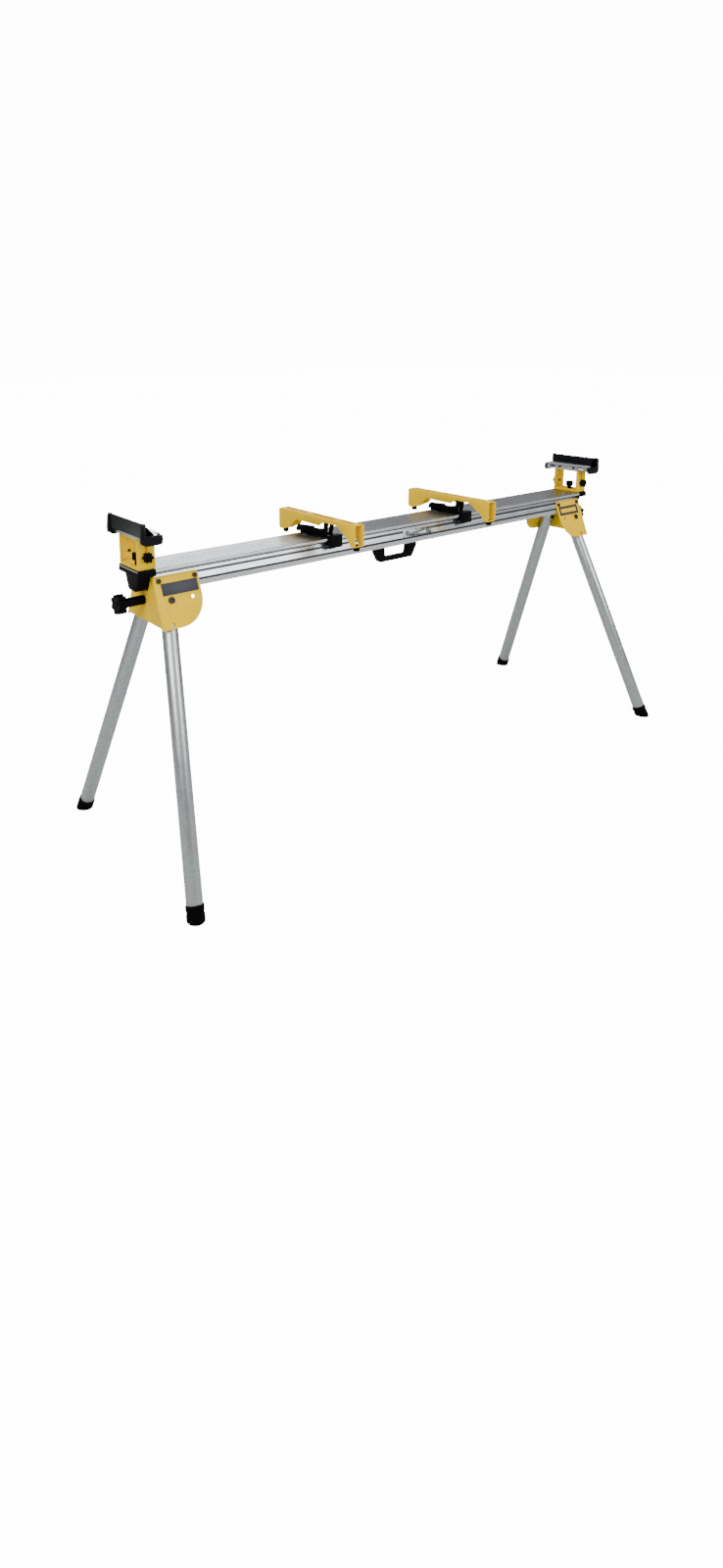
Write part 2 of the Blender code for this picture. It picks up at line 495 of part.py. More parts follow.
def build_support(end_name):
    flip = (ENDS[end_name], 1)
    centre = (SUPPORT_OUT, 0, BEAM_TOP)
    base_low = BEAM_TOP + SLIDE_CLEARANCE
    table_low = BEAM_TOP + TABLE_TOP_RISE - TABLE_HEIGHT
    base_high = table_low - SLIDE_CLEARANCE
    in_x, out_x = SUPPORT_OUT - SUPPORT_HALF_X, SUPPORT_OUT + SUPPORT_HALF_X
    wall_in = SUPPORT_HALF_Y - SHEET
    tip = SUPPORT_HALF_Y - SUPPORT_FLANGE
    channel = [(in_x, tip), (in_x + SHEET, tip), (in_x + SHEET, wall_in), (out_x - SHEET, wall_in),
               (out_x - SHEET, tip), (out_x, tip), (out_x, SUPPORT_HALF_Y), (in_x, SUPPORT_HALF_Y)]
    joins = []
    for sign in (-1, 1):
        joins.append(slab([(x, sign * y) for x, y in channel], base_low + 0.0007, base_high))
    for low in (in_x + 0.0002, out_x - SHEET + 0.0002):
        joins.append(slab(box_outline(low, low + SHEET - 0.0004, -wall_in + 0.001, wall_in - 0.001),
                          base_low + 0.001, base_low + SUPPORT_LIP))
    floor_y = SUPPORT_HALF_Y - 0.0004
    floor = slab(box_outline(in_x + 0.0004, out_x - 0.0004, -floor_y, floor_y), base_low, base_low + SHEET,
                 holes=[circle((SUPPORT_OUT, 0), STUD_RADIUS + STUD_CLEARANCE, 16)])
    knob_z = BEAM_TOP + RISER_KNOB_RISE
    slot_half = RISER_STUD_RADIUS + STUD_CLEARANCE
    slot = arc((SUPPORT_OUT, knob_z + RISER_LIFT), slot_half, 0, 180, 6)
    slot += arc((SUPPORT_OUT, knob_z), slot_half, 180, 360, 6)
    slots = slab(slot, -SUPPORT_HALF_Y - 0.005, SUPPORT_HALF_Y + 0.005, ALONG_Y)
    piece(f"support_base_{end_name}", YELLOW, floor, flip, centre, joins, [slots])

    place = Matrix.Translation((SUPPORT_OUT, 0, base_low + SHEET + SWIVEL_STEM + 0.0005))
    knob = star_knob(place, SWIVEL_KNOB_RADIUS, SWIVEL_KNOB_THICK, STUD_RADIUS + 0.003, SWIVEL_STEM,
                     STUD_RADIUS, SWIVEL_STUD_LENGTH)
    piece(f"swivel_knob_{end_name}", BLACK, knob, flip, centre)

    riser_high = table_low - GAP
    wall_out = wall_in - SLIDE_CLEARANCE
    riser_half = SUPPORT_HALF_X - SHEET - 0.001
    arch = mirrored([(wall_out, riser_high), (wall_out, knob_z - 0.021), (wall_out - SHEET, knob_z - 0.021),
                     (wall_out - SHEET, riser_high - SHEET)])
    riser = slab(arch, SUPPORT_OUT - riser_half, SUPPORT_OUT + riser_half, ALONG_X)
    stud_hole = rod(slot_half, -SUPPORT_HALF_Y, SUPPORT_HALF_Y,
                    ALONG_Y @ Matrix.Translation((SUPPORT_OUT, knob_z, 0)), 16)
    piece(f"support_riser_{end_name}", YELLOW, riser, flip, centre, cuts=[stud_hole])
    for side_name, side in SIDES.items():
        place = frame_of((SUPPORT_OUT, SUPPORT_HALF_Y + 0.002, knob_z), (0, 0, 1), (1, 0, 0))
        knob = star_knob(place, RISER_KNOB_RADIUS, RISER_KNOB_THICK, 0.0065, 0.0012, RISER_STUD_RADIUS, 0.011)
        piece(f"riser_knob_{end_name}_{side_name}", BLACK, knob, (flip[0], side),
              (SUPPORT_OUT, SUPPORT_HALF_Y, knob_z))

    table_top = BEAM_TOP + TABLE_TOP_RISE
    table = mirrored([(TABLE_HALF_X - 0.002, table_top), (TABLE_HALF_X, table_top - 0.002),
                      (TABLE_HALF_X, table_low), (TABLE_HALF_X - 0.0025, table_low),
                      (TABLE_HALF_X - 0.0025, table_top - 0.003)])
    place = ALONG_Y @ Matrix.Translation((SUPPORT_OUT, 0, 0))
    channel = slab(table, -TABLE_HALF_Y, TABLE_HALF_Y, place)
    piece(f"support_table_{end_name}", EXTRUSION, channel, flip, centre)

    face = SUPPORT_OUT + TABLE_HALF_X + GAP
    back = face + FENCE_THICK
    top = table_top + FENCE_RISE
    bar = slab([(face, table_top - 0.010), (back, table_top - 0.010), (back, top - 0.003),
                (back - 0.002, top), (face + 0.001, top), (face, top - 0.001)],
               -TABLE_HALF_Y - 0.002, TABLE_HALF_Y + 0.002, ALONG_Y)
    cap_in = SUPPORT_OUT - TABLE_HALF_X - 0.001
    cap = [(cap_in, table_top - 0.005), (cap_in, table_low - 0.004), (cap_in + 0.006, table_low - 0.008),
           (face, table_low - 0.008), (back + 0.005, table_low - 0.002), (back + 0.006, table_low + 0.010),
           (back + 0.003, top - 0.004), (back - 0.001, top + 0.001), (face - 0.001, top + 0.001),
           (face - 0.001, table_top - 0.003)]
    start = TABLE_HALF_Y + GAP
    caps = [slab(cap, start, start + FENCE_CAP, ALONG_Y), slab(cap, -start - FENCE_CAP, -start, ALONG_Y)]
    piece(f"support_fence_{end_name}", BLACK, bar, flip, centre, joins=caps)


def build_saw_bracket(end_name):
    centre = BRACKET_PLACES[end_name]
    here = Matrix.Translation((centre, 0, 0))
    top = BEAM_TOP + BRACKET_TOP_RISE
    rear_arch = BEAM_TOP + BRACKET_REAR_RISE
    front_arch = BEAM_TOP + BRACKET_FRONT_RISE
    low = BEAM_TOP - BRACKET_END_DROP
    reach = BRACKET_HALF_LENGTH
    inner = reach - BRACKET_END_LENGTH
    rear_end = [(reach - 0.004, top - GAP), (reach, top - 0.004), (reach, low + 0.006), (reach - 0.006, low),
                (inner + 0.012, low), (inner + 0.003, low + 0.004), (inner - 0.013, low + 0.011),
                (inner - 0.033, low + 0.019), (inner - 0.041, low + 0.030), (inner - 0.055, rear_arch)]
    front_end = [(SADDLE_END + 0.026, rear_arch - 0.002), (SADDLE_END + 0.006, front_arch),
                 (0.048 - inner, front_arch), (0.034 - inner, low + 0.043), (0.017 - inner, low + 0.032),
                 (0.005 - inner, low + 0.025), (-inner - 0.005, low + 0.015), (-inner - 0.012, low + 0.006),
                 (-inner - 0.018, low), (0.006 - reach, low), (-reach, low + 0.006), (-reach, top - 0.004),
                 (0.004 - reach, top - GAP)]
    outline = rear_end + front_end
    across = here @ ALONG_X
    joins = [slab(outline, BRACKET_HALF_WIDTH - BRACKET_SHEET, BRACKET_HALF_WIDTH, across)]
    cheek = slab(outline, -BRACKET_HALF_WIDTH, -BRACKET_HALF_WIDTH + BRACKET_SHEET, across)
    slots = [box_outline(-SLOT_HALF, SLOT_HALF, start, end) for start, end in SLOT_SPANS]
    sheet_half = BRACKET_HALF_WIDTH - 0.0006
    joins.append(slab(box_outline(-sheet_half, sheet_half, -reach + 0.005, reach - 0.005),
                      top - BRACKET_SHEET, top, here, slots))
    bumper_place = inner + BRACKET_END_LENGTH / 2 + 0.004
    for sign in (-1, 1):
        floor = box_outline(-sheet_half, sheet_half, sign * bumper_place - 0.010, sign * bumper_place + 0.009)
        joins.append(slab(floor, low + 0.0006, low + 0.0006 + BRACKET_SHEET, here,
                          [circle((0, sign * bumper_place), 0.0038, 12)]))
    pivot = (centre, 0, BEAM_TOP)
    piece(f"saw_bracket_{end_name}", YELLOW, cheek, pivot=pivot, joins=joins)

    saddle_low = BEAM_TOP + GAP
    saddle_top = saddle_low + SADDLE_THICK
    hook_in = LIP_HALF + 0.0006
    hook_out = hook_in + HOOK_THICK
    toe_top = LIP_UNDER - 0.0008
    toe_in = side_half(toe_top) + 0.009
    saddle = [(SADDLE_END, saddle_low), (hook_in, saddle_low), (hook_in, toe_top), (toe_in, toe_top),
              (toe_in, toe_top - HOOK_TOE), (hook_out, toe_top - HOOK_TOE), (hook_out, saddle_top - 0.002),
              (hook_out - 0.002, saddle_top), (SADDLE_END, saddle_top)]
    lug_top = top - BRACKET_SHEET - GAP
    lugs = []
    for sign in (-1, 1):
        near, far = sorted((sign * (SLOT_HALF + 0.001), sign * (BRACKET_HALF_WIDTH - BRACKET_SHEET - GAP)))
        lug = [(SADDLE_END + 0.0005, saddle_top - 0.001), (SADDLE_END + 0.010, saddle_top - 0.001),
               (SADDLE_END + 0.004, lug_top), (SADDLE_END - 0.014, lug_top)]
        lugs.append(slab(lug, near, far, across))
    piece(f"bracket_saddle_{end_name}", BLACK, slab(saddle, -0.020, 0.020, across), pivot=pivot, joins=lugs)

    tongue = hook_in + 0.0004
    jaw_low = BEAM_TOP - JAW_DROP
    jaw = [(SADDLE_END - 0.0015, saddle_low), (-tongue, saddle_low), (-tongue, toe_top), (-toe_in, toe_top),
           (-toe_in, toe_top - HOOK_TOE), (-tongue, toe_top - HOOK_TOE), (-tongue, jaw_low),
           (-tongue - HOOK_THICK, jaw_low), (-tongue - HOOK_THICK, saddle_top - 0.002),
           (-tongue - HOOK_THICK + 0.002, saddle_top), (SADDLE_END - 0.0015, saddle_top)]
    piece(f"clamp_jaw_{end_name}", BLACK, slab(jaw, JAW_IN, JAW_OUT, across), pivot=pivot)

    hub = Vector((*LEVER_HUB, 0))
    tip = Vector((*LEVER_TIP, 0))
    along = math.degrees(math.atan2(tip.y - hub.y, tip.x - hub.x))
    lever = arc(LEVER_HUB, LEVER_HUB_RADIUS, along + 40, along + 320, 14)
    lever += arc(LEVER_TIP, 0.0075, along - 75, along + 75, 6)
    lever_low = saddle_top + SLIDE_CLEARANCE
    piece(f"clamp_lever_{end_name}", BLACK, slab(lever, lever_low, lever_low + LEVER_THICK, here),
          pivot=(centre + hub.x, hub.y, lever_low))

    floor_top = low + 0.0006 + BRACKET_SHEET
    for side_name, side in SIDES.items():
        profile = [(0, low - BUMPER_HEIGHT), (BUMPER_RADIUS * 0.8, low - BUMPER_HEIGHT),
                   (BUMPER_RADIUS, low - BUMPER_HEIGHT * 0.6), (BUMPER_RADIUS, low + GAP), (0.003, low + GAP),
                   (0.003, floor_top + 0.0006), (0.0055, floor_top + 0.0006), (0.0045, floor_top + 0.004),
                   (0, floor_top + 0.004)]
        place = Matrix.Translation((centre, bumper_place, 0))
        piece(f"saw_bumper_{end_name}_{side_name}", RUBBER, turned(profile, place, 18), (1, side), pivot)


def build_handle():
    low = BEAM_BOTTOM - HANDLE_DROP
    high = BEAM_BOTTOM - GAP
    outer = [(HANDLE_HALF, high), (HANDLE_HALF, high - 0.022), (HANDLE_GRIP_HALF + 0.004, low + 0.005),
             (HANDLE_GRIP_HALF - 0.002, low)]
    inner = [(HANDLE_HALF - 0.038, high), (HANDLE_GRIP_HALF - 0.020, low + HANDLE_BAR + 0.004),
             (HANDLE_GRIP_HALF - 0.024, low + HANDLE_BAR)]
    outline = outer + [(-x, z) for x, z in reversed(outer)]
    outline += [(-x, z) for x, z in inner] + [(x, z) for x, z in reversed(inner)]
    piece("carry_handle", BLACK, slab(outline, -HANDLE_THICK / 2, HANDLE_THICK / 2, ALONG_Y))


def build_tool_clip():
    start, end = CLIP_SPAN
    strip = slab(box_outline(start, end, -CLIP_HALF_HEIGHT, CLIP_HALF_HEIGHT), GAP, GAP + 0.002, SIDE_FACE)
    studs = []
    for across in (start + 0.014, end - 0.014):
        place = SIDE_FACE @ Matrix.Translation((across, 0, 0))
        studs.append(turned([(0, GAP + 0.001), (0.0075, GAP + 0.001), (0.0075, 0.007), (0.004, 0.009),
                             (0.004, 0.014), (0, 0.014)], place, 12))
    tongue = slab(box_outline(start + 0.034, end - 0.034, -0.004, -0.002), GAP + 0.001, 0.013, SIDE_FACE)
    piece("tool_clip", ZINC, strip, (1, -1), joins=studs + [tongue])


def build_label(end_name):
    label = slab(box_outline(LABEL_IN, LABEL_OUT, LABEL_HIGH, LABEL_LOW), GAP, GAP + LABEL_THICK, PLATE)
    piece(f"name_plate_{end_name}", LABEL, label, (ENDS[end_name], -1))


for leftover in list(bpy.data.objects):
    bpy.data.objects.remove(leftover, do_unlink=True)
build_beam()
build_handle()
build_tool_clip()
for end_name, end in ENDS.items():
    build_leg_bracket(f"leg_bracket_{end_name}", (end, 1))
    build_label(end_name)
    build_extension(end_name)
    build_support(end_name)
    build_saw_bracket(end_name)
    for side_name, side in SIDES.items():
        build_bracket_bolts(f"bracket_bolts_{end_name}_{side_name}", (end, side))
        build_leg(end_name, side_name)
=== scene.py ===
# %% [markdown]
# # A folding stand for a mitre saw
# The stand is a long aluminium beam on four folding tube legs. Sheet-metal brackets hold the legs,
# a sliding support sits at each end, and two saw brackets clamp across the beam. The design is
# already fixed, so this lesson only gives it its looks: rounder shapes, small fittings and finishes.

# %% Load the design
import json
import math

import bpy
from mathutils import Matrix, Vector


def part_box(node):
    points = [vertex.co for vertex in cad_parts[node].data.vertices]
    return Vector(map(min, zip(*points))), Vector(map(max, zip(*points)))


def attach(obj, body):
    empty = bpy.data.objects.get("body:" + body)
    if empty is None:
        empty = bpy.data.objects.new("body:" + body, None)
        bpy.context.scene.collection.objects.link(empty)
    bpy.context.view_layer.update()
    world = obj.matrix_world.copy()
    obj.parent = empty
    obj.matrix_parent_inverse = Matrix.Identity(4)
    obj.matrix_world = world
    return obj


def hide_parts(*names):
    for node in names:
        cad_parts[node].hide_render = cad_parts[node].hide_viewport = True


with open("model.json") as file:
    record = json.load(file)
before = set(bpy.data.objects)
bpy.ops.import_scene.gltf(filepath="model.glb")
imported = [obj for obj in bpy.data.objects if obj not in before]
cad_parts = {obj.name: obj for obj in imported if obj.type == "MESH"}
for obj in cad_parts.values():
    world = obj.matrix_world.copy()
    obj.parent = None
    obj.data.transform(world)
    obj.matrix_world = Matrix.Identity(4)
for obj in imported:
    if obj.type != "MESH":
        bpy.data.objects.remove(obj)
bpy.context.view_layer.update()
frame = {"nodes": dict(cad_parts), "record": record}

bpy.ops.object.select_all(action="DESELECT")
print("nodes loaded:", len(frame["nodes"]))

# %% [markdown]
# ## Camera
# The stand is seen from its left front corner, from a little above the beam, through a wide lens.
# A small lens shift places it high in a tall picture. The camera comes first, so that every piece
# can be judged in the same view.

# %% Camera
VIEW_FROM = Vector((-1.8597, -1.9753, 1.3641))
VIEW_HEADING = 0.6443
VIEW_DIP = 0.1899
VIEW_ROLL = -0.0088
SENSOR_WIDTH = 36.0
LENS = 20.03
LENS_SHIFT = (0.0396, -0.1765)

camera_data = bpy.data.cameras.new("camera")
camera_data.sensor_width = SENSOR_WIDTH
camera_data.lens = LENS
camera_data.shift_x, camera_data.shift_y = LENS_SHIFT
camera = bpy.data.objects.new("camera", camera_data)
bpy.context.scene.collection.objects.link(camera)
turn = Matrix.Rotation(-VIEW_HEADING, 4, "Z") @ Matrix.Rotation(math.pi / 2 - VIEW_DIP, 4, "X")
camera.matrix_world = Matrix.Translation(VIEW_FROM) @ turn @ Matrix.Rotation(VIEW_ROLL, 4, "Z")
bpy.context.scene.camera = camera
print("camera height:", round(VIEW_FROM.z, 3))

# %% [markdown]
# ## Light
# Soft studio light has no hard edges. A large panel on the left gives the yellow cheeks their bright
# side, a weaker one fills the front, and a third one behind draws a line along the tubes.

# %% Studio light


def soft_panel(name, place, aim, size, power):
    """A square light at a place, turned to face a point."""
    data = bpy.data.lights.new(name, "AREA")
    data.shape = "SQUARE"
    data.size = size
    data.energy = power
    panel = bpy.data.objects.new(name, data)
    bpy.context.scene.collection.objects.link(panel)
    panel.location = place
    panel.rotation_euler = (Vector(aim) - Vector(place)).to_track_quat("-Z", "Y").to_euler()
    return panel


soft_panel("left_panel", (-3.6, -1.6, 2.9), (0, 0, 0.7), 2.2, 120)
soft_panel("front_panel", (1.2, -3.4, 2.3), (-0.5, 0, 0.7), 2.4, 85)
soft_panel("back_panel", (1.0, 3.8, 2.1), (-0.3, 0, 0.7), 2.4, 75)
print("lights:", len(bpy.data.lights))

# %% [markdown]
# ## Node helpers
# Colours are written as the hex values a paint chart gives. Blender works with linear light, so one
# function converts them. A second one adds a shader node with its settings and links.

# %% Colour and node helpers


def linear(code):
    """An sRGB hex colour as linear RGBA."""
    parts = [int(code[i:i + 2], 16) / 255 for i in (1, 3, 5)]
    return (*[c / 12.92 if c <= 0.04045 else ((c + 0.055) / 1.055) ** 2.4 for c in parts], 1.0)


def add_node(tree, kind, inputs=None, **settings):
    """A node with its settings, whose inputs take values or other nodes' outputs."""
    node = tree.nodes.new(kind)
    for name, value in settings.items():
        setattr(node, name, value)
    for name, value in (inputs or {}).items():
        if isinstance(value, bpy.types.NodeSocket):
            tree.links.new(value, node.inputs[name])
        else:
            node.inputs[name].default_value = value
    return node


def new_finish(name, metallic, ior=1.5):
    """A material with its shader, and the object's own coordinates."""
    finish = bpy.data.materials.new(name)
    finish.use_nodes = True
    tree = finish.node_tree
    shader = tree.nodes["Principled BSDF"]
    shader.inputs["Metallic"].default_value = metallic
    shader.inputs["IOR"].default_value = ior
    place = add_node(tree, "ShaderNodeTexCoord")
    return finish, tree, shader, place.outputs["Object"]


def noise_of(tree, place, spacing, detail=3.0, stretch=(1, 1, 1)):
    """Noise whose cells are about one spacing across, in metres, times the stretch."""
    fit = add_node(tree, "ShaderNodeMapping", {"Vector": place, "Scale": [1 / s for s in stretch]})
    inputs = {"Vector": fit.outputs["Vector"], "Scale": 1 / spacing, "Detail": detail}
    return add_node(tree, "ShaderNodeTexNoise", inputs).outputs["Fac"]


def spread(tree, value, low, high):
    """A noise value mapped from its middle range onto low to high."""
    inputs = {"Value": value, "From Min": 0.3, "From Max": 0.7, "To Min": low, "To Max": high}
    return add_node(tree, "ShaderNodeMapRange", inputs).outputs["Result"]


def blend_colours(tree, value, first, second):
    """One colour at value 0 and another at value 1."""
    inputs = {0: value, 6: linear(first), 7: linear(second)}
    return add_node(tree, "ShaderNodeMix", inputs, data_type="RGBA").outputs[2]


def relief(tree, shader, value, depth, strength=1.0):
    """Raises the surface by a value, with a depth in metres."""
    bump = add_node(tree, "ShaderNodeBump", {"Height": value, "Distance": depth, "Strength": strength})
    tree.links.new(bump.outputs["Normal"], shader.inputs["Normal"])


# %% [markdown]
# ## Surroundings
# Bare metal shows what is around it, so the surroundings are not even: the level directions are
# darker, and the light grows overhead. The camera itself sees plain white instead, and so the stand
# stands out sharply. The Light Path node tells the two kinds of ray apart.

# %% White surroundings
SEEN_WHITE = 14.0
SIDE_GLOW = 0.22
TOP_GLOW = 1.15
GLOW_RISE = 0.7


def seen_or_lit(tree, lit):
    """White for rays from the camera, and the given value for all others."""
    ray = add_node(tree, "ShaderNodeLightPath")
    inputs = {0: ray.outputs["Is Camera Ray"], 2: lit, 3: SEEN_WHITE}
    return add_node(tree, "ShaderNodeMix", inputs, data_type="FLOAT").outputs[0]


world = bpy.data.worlds.new("studio")
world.use_nodes = True
tree = world.node_tree
spot = add_node(tree, "ShaderNodeTexCoord")
axes = add_node(tree, "ShaderNodeSeparateXYZ", {"Vector": spot.outputs["Generated"]})
glow_inputs = {"Value": axes.outputs["Z"], "From Min": 0.0, "From Max": GLOW_RISE,
               "To Min": SIDE_GLOW, "To Max": TOP_GLOW}
glow = add_node(tree, "ShaderNodeMapRange", glow_inputs)
tree.links.new(seen_or_lit(tree, glow.outputs["Result"]), tree.nodes["Background"].inputs["Strength"])
tree.nodes["Background"].inputs["Color"].default_value = (1.0, 1.0, 1.0, 1)
bpy.context.scene.world = world
print("surroundings made")

# %% [markdown]
# ## Finishes
# Each finish starts from how its surface is made. Powder coat is baked plastic powder: it is glossy
# but never quite flat, like orange peel, with cells of about 2 mm. They are drawn at 3 mm, because
# finer ones would not show.

# %% Powder coat
ORANGE_PEEL = 0.003
SHADE_DRIFT = 0.09
POWDER_GRIT = 0.0006


def make_powder_coat():
    """Yellow powder coat, with a slow drift of shade over each part."""
    finish, tree, shader, place = new_finish("yellow_powder_coat", 0.0, 1.18)
    drift = spread(tree, noise_of(tree, place, SHADE_DRIFT, 2.0), 0.0, 1.0)
    tree.links.new(blend_colours(tree, drift, "#E6BA00", "#EEC400"), shader.inputs["Base Color"])
    grit = noise_of(tree, place, POWDER_GRIT, 1.0)
    tree.links.new(spread(tree, grit, 0.42, 0.54), shader.inputs["Roughness"])
    peel = noise_of(tree, place, ORANGE_PEEL, 1.5)
    relief(tree, shader, peel, 0.00012, 0.5)
    return finish


POWDER_COAT = make_powder_coat()
print("made", POWDER_COAT.name)

# %% [markdown]
# Extruded aluminium keeps fine lines from the die, all along the bar. Anodising seals them under a
# clear skin, so the metal is bright but soft. The lines are drawn about 4 mm apart, because the real
# ones are too fine to show. On the beam a ramp by height paints shade in the grooves and under the lips,
# and paints highlights on the bands between them.

# %% Anodised extrusion and tube
DIE_LINES = 0.004
DIE_RUN = 400

# How far below the top of the beam each band starts, in metres. The dark bands are painted shade
# and the bright ones are painted highlights.
BEAM_PAINTED_LIGHT = ((0.0, "#A2A5AA"), (0.0005, "#54575C"), (0.0012, "#54575C"), (0.0018, "#F0F1F2"),
              (0.0085, "#F0F1F2"), (0.0100, "#3C3F44"), (0.0165, "#45484D"), (0.0180, "#ECEEF0"),
              (0.0235, "#DDE0E3"), (0.0255, "#63676D"), (0.0305, "#7B7F85"), (0.0320, "#F0F2F4"),
              (0.0450, "#DADDE0"), (0.0465, "#3A3D41"), (0.0490, "#4A4D51"), (0.0505, "#FFFFFF"),
              (0.0655, "#F0F1F2"))


def paint_beam_light(tree, place):
    """Painted shade in the grooves and under the lips, and painted highlights between, by height on the
    beam.
    """
    heights = [corner.co.z for corner in frame["nodes"]["beam"].data.vertices]
    axes = add_node(tree, "ShaderNodeSeparateXYZ", {"Vector": place})
    top = max(heights)
    inputs = {"Value": axes.outputs["Z"], "From Min": top - BEAM_PAINTED_LIGHT[-1][0], "From Max": top}
    share = add_node(tree, "ShaderNodeMapRange", inputs)
    ramp = add_node(tree, "ShaderNodeValToRGB", {"Fac": share.outputs["Result"]})
    stops = ramp.color_ramp.elements
    for drop, shade in BEAM_PAINTED_LIGHT[1:-1]:
        stops.new(1 - drop / BEAM_PAINTED_LIGHT[-1][0]).color = linear(shade)
    stops[0].color = linear(BEAM_PAINTED_LIGHT[-1][1])
    stops[-1].color = linear(BEAM_PAINTED_LIGHT[0][1])
    return ramp.outputs["Color"]


def make_aluminium(name, dark, light, run, rough, painted_light=None):
    """Bare or anodised aluminium, with lines that run along the axes in run, and any painted light
    multiplied in.
    """
    finish, tree, shader, place = new_finish(name, 1.0)
    lines = noise_of(tree, place, DIE_LINES, 2.0, run)
    cloud = noise_of(tree, place, 0.07, 2.0)
    colour = blend_colours(tree, spread(tree, lines, 0, 1), dark, light)
    # The beam's painted shade and painted highlights are multiplied into the colour here.
    if painted_light:
        inputs = {0: 1.0, 6: colour, 7: painted_light(tree, place)}
        colour = add_node(tree, "ShaderNodeMix", inputs, data_type="RGBA", blend_type="MULTIPLY").outputs[2]
    tree.links.new(colour, shader.inputs["Base Color"])
    tree.links.new(spread(tree, cloud, rough - 0.05, rough + 0.05), shader.inputs["Roughness"])
    relief(tree, shader, lines, 0.00003, 0.2)
    return finish


# The beam gets painted shade and painted highlights in bands by height.
EXTRUSION = make_aluminium("clear_anodised_extrusion", "#C6C9CD", "#EDEEF0", (DIE_RUN, 1, 1), 0.30,
                           paint_beam_light)
SUPPORT_SILVER = make_aluminium("anodised_table_channel", "#A2A6AA", "#C4C8CC", (1, DIE_RUN, 1), 0.26)
TUBE = make_aluminium("satin_aluminium_tube", "#A0A6A8", "#B2B8BA", (2, 2, 2), 0.34)
print("made three aluminiums")

# %% [markdown]
# The black mouldings are glass-filled nylon, moulded in a spark-eroded tool that leaves an even
# grain. Rubber is blacker and duller. Both are dielectrics, so they stay at metallic 0.

# %% Black plastic and rubber
MOULD_GRAIN = 0.0009


def make_black(name, dark, light, rough, depth, ior):
    """A moulded black surface with an even grain."""
    finish, tree, shader, place = new_finish(name, 0.0, ior)
    grain = noise_of(tree, place, MOULD_GRAIN, 2.0)
    smear = noise_of(tree, place, 0.03, 2.0)
    tree.links.new(blend_colours(tree, spread(tree, smear, 0, 1), dark, light), shader.inputs["Base Color"])
    tree.links.new(spread(tree, grain, rough - 0.06, rough + 0.06), shader.inputs["Roughness"])
    relief(tree, shader, grain, depth, 0.6)
    return finish


NYLON = make_black("grained_black_nylon", "#020203", "#050608", 0.50, 0.00006, 1.14)
RUBBER = make_black("moulded_black_rubber", "#020203", "#050505", 0.75, 0.00010, 1.12)
FENCE_BLACK = make_black("black_anodised_fence", "#030407", "#070A10", 0.34, 0.00003, 1.25)
print("made", NYLON.name, RUBBER.name, FENCE_BLACK.name)

# %% [markdown]
# Small steel parts are zinc plated, which leaves faint cloudy patches, or blackened with hot oxide
# and oil. The name panels are printed film: blank here, with a slight fleck in the ink.

# %% Plated, blackened and printed finishes


def make_metal(name, dark, light, metallic, rough, patch):
    """A surface whose shade and shine change together, in cloudy patches."""
    finish, tree, shader, place = new_finish(name, metallic)
    cloud = noise_of(tree, place, patch, 3.0)
    fine = noise_of(tree, place, 0.0008, 2.0)
    tree.links.new(blend_colours(tree, spread(tree, cloud, 0, 1), dark, light), shader.inputs["Base Color"])
    tree.links.new(spread(tree, cloud, rough - 0.07, rough + 0.07), shader.inputs["Roughness"])
    relief(tree, shader, fine, 0.00002, 0.4)
    return finish


ZINC = make_metal("bright_zinc_plate", "#6E7378", "#A4A9AD", 1.0, 0.26, 0.012)
BLACK_OXIDE = make_metal("black_oxide_steel", "#08080A", "#101113", 0.4, 0.40, 0.006)
PANEL_INK = make_metal("printed_slate_panel", "#15171E", "#232631", 0.0, 0.5, 0.004)
print("made", ZINC.name, BLACK_OXIDE.name, PANEL_INK.name)

# %% [markdown]
# ## Floor
# A white sheet of studio paper lies under the stand. It lights the stand from below like paper, but
# the camera sees it as white as the surroundings, so there is no horizon.

# %% Floor
FLOOR_WIDTH = 60
FLOOR_DROP = 0.0005

finish, tree, shader, place = new_finish("studio_paper", 0.0)
fibres = noise_of(tree, place, 0.02, 4.0)
paper_shade = blend_colours(tree, spread(tree, fibres, 0, 1), "#BDBDBC", "#C6C6C5")
tree.links.new(paper_shade, shader.inputs["Base Color"])
shader.inputs["Roughness"].default_value = 0.85
shader.inputs["Emission Color"].default_value = (1.0, 1.0, 1.0, 1)
tree.links.new(seen_or_lit(tree, 0.0), shader.inputs["Emission Strength"])
bpy.ops.mesh.primitive_plane_add(size=FLOOR_WIDTH, location=(0, 0, -FLOOR_DROP))
floor = bpy.context.object
floor.name = "studio_floor"
floor.data.materials.append(finish)
print("floor width:", floor.dimensions.x)

# %% [markdown]
# ## Shaping helpers
# Operators act on whatever is selected, so every step starts from nothing selected. A finished piece
# rides on the body that moves it, stands for the design's plain node, and takes a material slot.

# %% Shaping helpers
BODY_OF = {node: body for body, nodes in frame["record"]["behaviour"]["bodies"].items() for node in nodes}
JOINT = {joint["name"]: joint for joint in frame["record"]["behaviour"]["joints"]}
MOUNT = {mount["name"]: mount for mount in frame["record"]["mounts"]}
ENDS = {"left": -1, "right": 1}
SIDES = {"front": -1, "rear": 1}
CORNERS = [f"{end_name}_{side_name}" for end_name in ENDS for side_name in SIDES]
MERGE_GAP = 0.00002
made = []


def only(piece):
    """Selects one object and makes it the active one."""
    bpy.ops.object.select_all(action="DESELECT")
    piece.select_set(True)
    bpy.context.view_layer.objects.active = piece


def apply_changes(piece):
    """Applies every modifier of a piece, in order."""
    only(piece)
    for change in list(piece.modifiers):
        bpy.ops.object.modifier_apply(modifier=change.name)


def round_edges(piece, width, segments=3, angle=30):
    """Rounds the edges sharper than an angle, and smooths the shading."""
    bevel = piece.modifiers.new("rounding", "BEVEL")
    bevel.width = width
    bevel.segments = segments
    bevel.limit_method = "ANGLE"
    bevel.angle_limit = math.radians(angle)
    apply_changes(piece)
    bpy.ops.object.shade_smooth_by_angle(angle=math.radians(38))
    return piece


